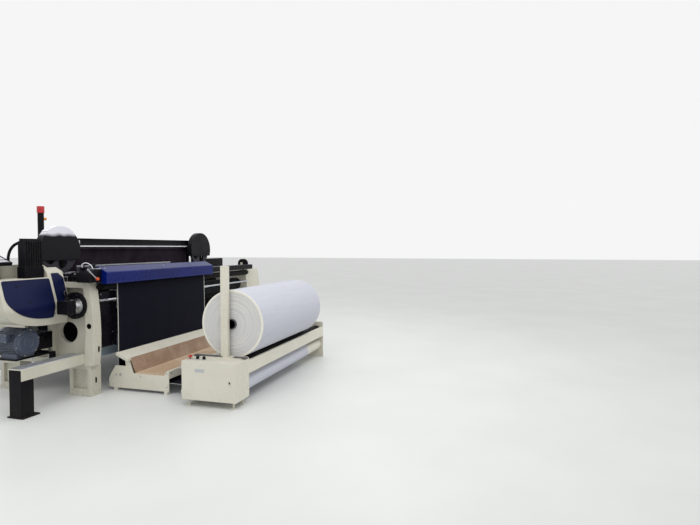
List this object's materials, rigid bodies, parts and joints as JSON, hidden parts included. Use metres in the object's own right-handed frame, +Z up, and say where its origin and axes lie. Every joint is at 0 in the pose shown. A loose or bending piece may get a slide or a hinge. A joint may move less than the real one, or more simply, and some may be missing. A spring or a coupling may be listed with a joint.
{
  "type": "power loom",
  "caption": "Rapier power loom weaving denim, with its inspection platform and a large-roll batcher that winds the cloth.",
  "frame": {"origin": "on the floor, under the middle of the whole station", "axes": "+X across the loom to the weaver's right, +Y from the cloth side to the warp side, +Z up"},
  "size_m": [4.38, 3.5599, 1.93],
  "materials": {
    "cream_paint": "satin",
    "navy_panel": "satin",
    "blue_cover": "gloss",
    "black_parts": "matte",
    "bright_steel": "brushed",
    "grey_paint": "satin",
    "motor_paint": "painted",
    "pale_guard": "satin",
    "alloy": "satin",
    "emery": "rough",
    "denim_cloth": "woven",
    "warp_yarn": "yarn",
    "rolled_cloth": "woven",
    "deck_wood": "worn",
    "signal_red": "gloss",
    "black_metal": "satin"
  },
  "bodies": {
    "loom": {"left_frame": "cream_paint", "right_frame": "cream_paint", "feet": "cream_paint", "cross_beams": "grey_paint", "harness_stand": "alloy", "cloth_table": "bright_steel", "front_cover": "blue_cover", "cover_brackets": "black_metal", "guide_bar": "bright_steel", "take_up_motor": "black_metal", "left_end_housing": "cream_paint", "navy_panels": "navy_panel", "main_motor": "motor_paint", "step_beam": "cream_paint", "step_post": "black_metal", "terminal_arm": "black_metal", "signal_tower": "black_metal", "left_gear_box": "black_metal", "right_gear_box": "black_metal", "wheel_guards": "pale_guard", "harness_top_beam": "black_metal", "stop_motion": "bright_steel", "warp_sheet": "warp_yarn", "cloth_web": "denim_cloth", "weft_selector": "black_parts", "right_end_cover": "cream_paint", "platform_frame": "cream_paint", "platform_deck": "deck_wood", "batcher_cabinet": "cream_paint", "batcher_frame": "cream_paint", "guide_post": "cream_paint"},
    "terminal": {"terminal": "black_parts"},
    "left_rapier_wheel": {"left_rapier_wheel": "alloy"},
    "right_rapier_wheel": {"right_rapier_wheel": "alloy"},
    "left_rapier": {"left_rapier": "bright_steel"},
    "right_rapier": {"right_rapier": "bright_steel"},
    "sley": {"sley": "alloy", "reed": "bright_steel"},
    "heald_frame_1": {"heald_frame_1": "alloy"},
    "heald_frame_2": {"heald_frame_2": "alloy"},
    "heald_frame_3": {"heald_frame_3": "alloy"},
    "heald_frame_4": {"heald_frame_4": "alloy"},
    "back_rest": {"back_rest": "bright_steel"},
    "warp_beam": {"warp_beam": "alloy", "warp_pack": "warp_yarn"},
    "breast_roller": {"breast_roller": "bright_steel"},
    "take_up_roller": {"take_up_roller": "emery"},
    "press_roller": {"press_roller": "emery"},
    "turn_roller": {"turn_roller": "bright_steel"},
    "waste_reel": {"waste_reel": "black_parts"},
    "brake_lever": {"brake_lever": "bright_steel"},
    "platform_roller": {"platform_roller": "bright_steel"},
    "cabinet_door": {"cabinet_door": "cream_paint"},
    "front_drive_roller": {"front_drive_roller": "emery"},
    "rear_drive_roller": {"rear_drive_roller": "emery"},
    "lower_roller": {"lower_roller": "cream_paint"},
    "cloth_roll": {"cloth_roll": "rolled_cloth"},
    "stop_button": {"stop_button": "signal_red"},
    "left_knob": {"left_knob": "black_parts"},
    "right_knob": {"right_knob": "black_parts"}
  },
  "joints": [
    {"name": "left_wheel_turn", "type": "hinge", "parent": "loom", "child": "left_rapier_wheel", "pos_m": [-1.436, 0.385, 1.4563], "axis": [0, -1, 0], "range_deg": [0, 206]},
    {"name": "right_wheel_turn", "type": "hinge", "parent": "loom", "child": "right_rapier_wheel", "pos_m": [1.1, 0.385, 1.4563], "axis": [0, 1, 0], "range_deg": [0, 206]},
    {"name": "left_rapier_slide", "type": "slide", "parent": "loom", "child": "left_rapier", "axis": [1, 0, 0], "range_m": [0, 0.81975]},
    {"name": "right_rapier_slide", "type": "slide", "parent": "loom", "child": "right_rapier", "axis": [-1, 0, 0], "range_m": [0, 0.81975]},
    {"name": "sley_rock", "type": "hinge", "parent": "loom", "child": "sley", "pos_m": [0, 0.44, 0.8], "axis": [1, 0, 0], "range_deg": [0, 10.5]},
    {"name": "heald_lift_1", "type": "slide", "parent": "loom", "child": "heald_frame_1", "axis": [0, 0, 1], "range_m": [-0.038, 0.038]},
    {"name": "heald_lift_2", "type": "slide", "parent": "loom", "child": "heald_frame_2", "axis": [0, 0, 1], "range_m": [-0.038, 0.038]},
    {"name": "heald_lift_3", "type": "slide", "parent": "loom", "child": "heald_frame_3", "axis": [0, 0, 1], "range_m": [-0.038, 0.038]},
    {"name": "heald_lift_4", "type": "slide", "parent": "loom", "child": "heald_frame_4", "axis": [0, 0, 1], "range_m": [-0.038, 0.038]},
    {"name": "warp_beam_turn", "type": "hinge", "parent": "loom", "child": "warp_beam", "pos_m": [0, 1.33, 0.56], "axis": [1, 0, 0], "continuous": true},
    {"name": "back_rest_turn", "type": "hinge", "parent": "loom", "child": "back_rest", "pos_m": [0, 1.12, 1.1382], "axis": [1, 0, 0], "continuous": true},
    {"name": "take_up_turn", "type": "hinge", "parent": "loom", "child": "take_up_roller", "pos_m": [0, 0.12, 0.915], "axis": [1, 0, 0], "continuous": true},
    {"name": "press_turn", "type": "hinge", "parent": "loom", "child": "press_roller", "pos_m": [0, 0.1893, 0.79497], "axis": [1, 0, 0], "continuous": true},
    {"name": "breast_turn", "type": "hinge", "parent": "loom", "child": "breast_roller", "pos_m": [0, 0.02, 1.1682], "axis": [1, 0, 0], "continuous": true},
    {"name": "turn_roller_turn", "type": "hinge", "parent": "loom", "child": "turn_roller", "pos_m": [0, -0.07, 1.098], "axis": [1, 0, 0], "continuous": true},
    {"name": "roll_turn", "type": "hinge", "parent": "loom", "child": "cloth_roll", "pos_m": [0, -1.448, 0.75], "axis": [1, 0, 0], "continuous": true},
    {"name": "front_drive_turn", "type": "hinge", "parent": "loom", "child": "front_drive_roller", "pos_m": [0, -1.54, 0.36525], "axis": [1, 0, 0], "continuous": true},
    {"name": "rear_drive_turn", "type": "hinge", "parent": "loom", "child": "rear_drive_roller", "pos_m": [0, -1.356, 0.36864], "axis": [1, 0, 0], "continuous": true},
    {"name": "lower_roller_turn", "type": "hinge", "parent": "loom", "child": "lower_roller", "pos_m": [0, -1.54, 0.172], "axis": [1, 0, 0], "continuous": true},
    {"name": "platform_roller_turn", "type": "hinge", "parent": "loom", "child": "platform_roller", "pos_m": [0, -0.1496, 0.168], "axis": [1, 0, 0], "continuous": true},
    {"name": "waste_reel_turn", "type": "hinge", "parent": "loom", "child": "waste_reel", "pos_m": [1.9, 0.08, 1.231], "axis": [1, 0, 0], "continuous": true},
    {"name": "brake_lever_swing", "type": "hinge", "parent": "loom", "child": "brake_lever", "pos_m": [-1.49, -0.138, 1.186], "axis": [0, 1, 0], "range_deg": [-25, 25]},
    {"name": "terminal_tilt", "type": "hinge", "parent": "loom", "child": "terminal", "pos_m": [0, 0.50469, 1.36095], "axis": [1, 0, 0], "range_deg": [-15, 30]},
    {"name": "cabinet_door_swing", "type": "hinge", "parent": "loom", "child": "cabinet_door", "pos_m": [-1.4623, -1.07, 0.25], "axis": [0, 0, -1], "range_deg": [0, 100]},
    {"name": "stop_button_press", "type": "slide", "parent": "loom", "child": "stop_button", "axis": [0, 0, -1], "range_m": [0, 0.006], "stiffness_N_per_m": 300, "springref_m": -0.004},
    {"name": "left_knob_turn", "type": "hinge", "parent": "loom", "child": "left_knob", "pos_m": [-1.36, -1.18, 0.43], "axis": [0, 0, 1], "range_deg": [-45, 45]},
    {"name": "right_knob_turn", "type": "hinge", "parent": "loom", "child": "right_knob", "pos_m": [-1.36, -1.25, 0.43], "axis": [0, 0, 1], "range_deg": [-45, 45]}
  ],
  "couplings": [
    {"joint": "right_wheel_turn", "follows": "left_wheel_turn", "ratio": 1},
    {"joint": "left_rapier_slide", "follows": "left_wheel_turn", "m_per_rad": 0.228},
    {"joint": "right_rapier_slide", "follows": "left_wheel_turn", "m_per_rad": 0.228},
    {"joint": "heald_lift_2", "follows": "heald_lift_1", "ratio": -1},
    {"joint": "heald_lift_3", "follows": "heald_lift_1", "ratio": 1},
    {"joint": "heald_lift_4", "follows": "heald_lift_1", "ratio": -1},
    {"joint": "back_rest_turn", "follows": "warp_beam_turn", "ratio": 6.3333},
    {"joint": "take_up_turn", "follows": "roll_turn", "ratio": 3.4947},
    {"joint": "press_turn", "follows": "roll_turn", "ratio": -8.3},
    {"joint": "breast_turn", "follows": "roll_turn", "ratio": -11.067},
    {"joint": "turn_roller_turn", "follows": "roll_turn", "ratio": -8.7368},
    {"joint": "platform_roller_turn", "follows": "roll_turn", "ratio": 8.7368},
    {"joint": "lower_roller_turn", "follows": "roll_turn", "ratio": 4.4267},
    {"joint": "front_drive_turn", "follows": "roll_turn", "ratio": -5.5333},
    {"joint": "rear_drive_turn", "follows": "roll_turn", "ratio": -5.5333}
  ]
}
